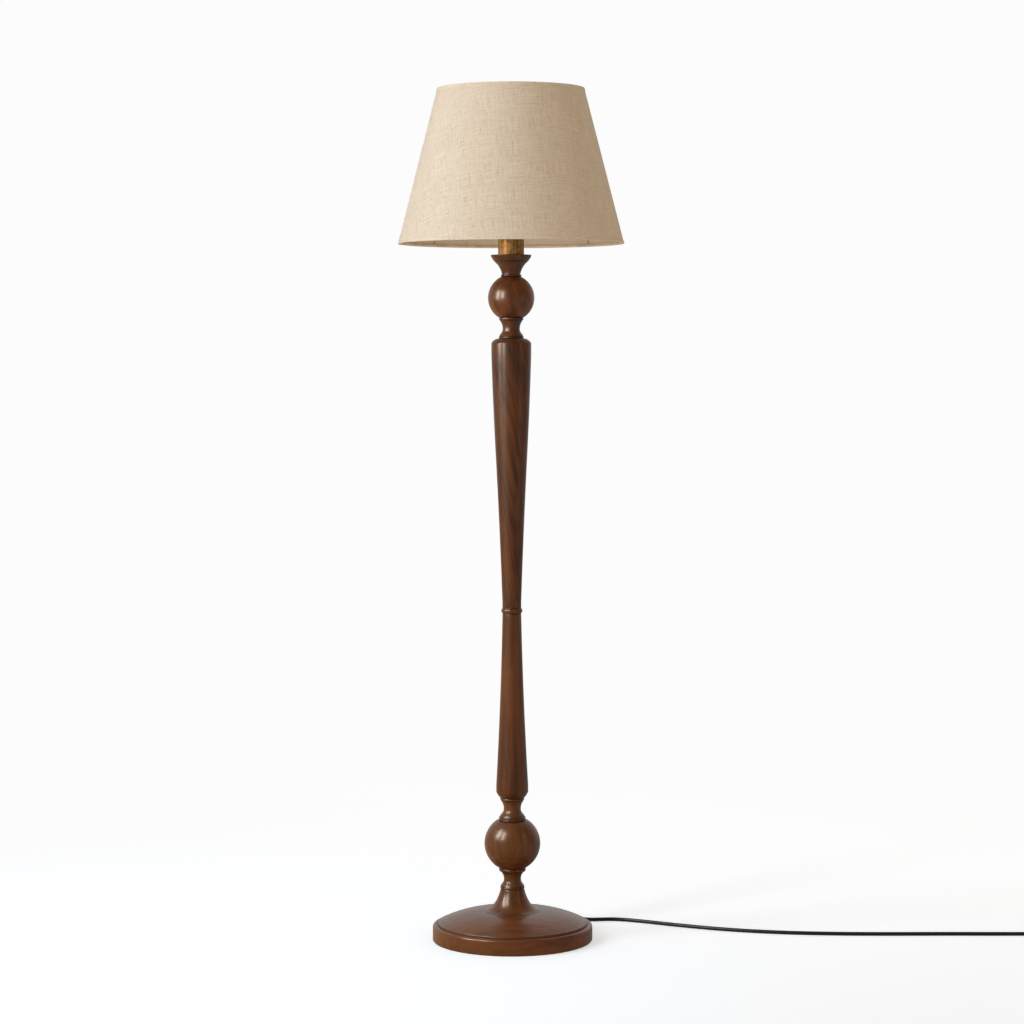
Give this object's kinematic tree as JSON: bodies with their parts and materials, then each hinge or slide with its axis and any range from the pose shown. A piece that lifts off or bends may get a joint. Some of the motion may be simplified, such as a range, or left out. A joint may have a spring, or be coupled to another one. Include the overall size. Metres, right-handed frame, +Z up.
{
  "type": "floor lamp",
  "caption": "Turned dark wood floor lamp on a weighted round base, with balls and spools along the stem, a brass holder sleeve and a conical linen shade.",
  "frame": {"origin": "centre of the base on the floor", "axes": "+Z up along the stem, -Y towards the picture's viewer, +X to the viewer's right"},
  "size_m": [1.2639, 0.4, 1.5125],
  "materials": {
    "walnut": "satin lacquer over dark stain",
    "felt": "felt",
    "iron": "rough cast",
    "steel": "zinc plated",
    "black_plastic": "moulded",
    "flex": "smooth flexible sheath",
    "core_insulation": "smooth",
    "brass": "brushed and lacquered",
    "ceramic": "unglazed",
    "cap_metal": "plain",
    "opal_glass": "satin",
    "clear_glass": "clear",
    "filament": "phosphor coat",
    "linen": "oatmeal linen on a stiff lining",
    "strap": "woven hook and loop strap",
    "edge_tape": "self-coloured linen tape"
  },
  "bodies": {
    "stand": {"base_felt": "felt", "base_disc": "walnut", "ballast_weight": "iron", "ballast_screws": "steel", "pedestal_cone": "walnut", "lower_spool": "walnut", "lower_ball": "walnut", "foot_spool": "walnut", "lower_column": "walnut", "joint_ring": "walnut", "upper_column": "walnut", "top_spool": "walnut", "upper_ball": "walnut", "drip_cup": "walnut", "lower_tube": "steel", "tube_coupling": "steel", "upper_tube": "steel", "bottom_washer": "steel", "bottom_nut": "steel", "top_washer": "steel", "top_nut": "steel", "cord_bush": "black_plastic", "cord_clamp": "black_plastic", "cord_clamp_screws": "steel", "inner_lead": "flex", "lead_cores": "core_insulation", "brass_sleeve": "brass", "holder_cap": "black_plastic", "grub_screw": "steel", "terminal_block": "ceramic", "terminal_screws": "brass", "centre_contact": "brass", "screw_shell": "brass", "holder_skirt": "black_plastic", "cord_lead": "flex", "cord_coil": "flex", "coil_tie": "strap", "plug_body": "flex", "plug_pins": "brass", "plug_earth_clips": "steel"},
    "shade": {"shade_cover": "linen", "shade_fitter": "steel", "shade_top_ring": "steel", "trim_bottom": "edge_tape", "trim_top": "edge_tape"},
    "clamp": {"clamp_ring": "black_plastic"},
    "bulb": {"bulb_contact": "cap_metal", "bulb_insulator": "black_plastic", "bulb_cap": "cap_metal", "bulb_glass": "opal_glass", "bulb_stem": "clear_glass", "bulb_filaments": "filament"},
    "switch": {"switch_key": "brass"}
  },
  "joints": [
    {"name": "shade_turn", "type": "hinge", "parent": "stand", "child": "shade", "pos_m": [0, 0, 1.2723], "axis": [0, 0, 1], "continuous": true},
    {"name": "clamp_turn", "type": "hinge", "parent": "stand", "child": "clamp", "pos_m": [0, 0, 1.2741], "axis": [0, 0, 1], "range_deg": [0, 1080]},
    {"name": "bulb_turn", "type": "hinge", "parent": "stand", "child": "bulb", "pos_m": [0, 0, 1.264], "axis": [0, 0, 1], "range_deg": [0, 1080]},
    {"name": "switch_turn", "type": "hinge", "parent": "stand", "child": "switch", "pos_m": [0, 0, 1.2495], "axis": [0, 1, 0], "continuous": true}
  ]
}
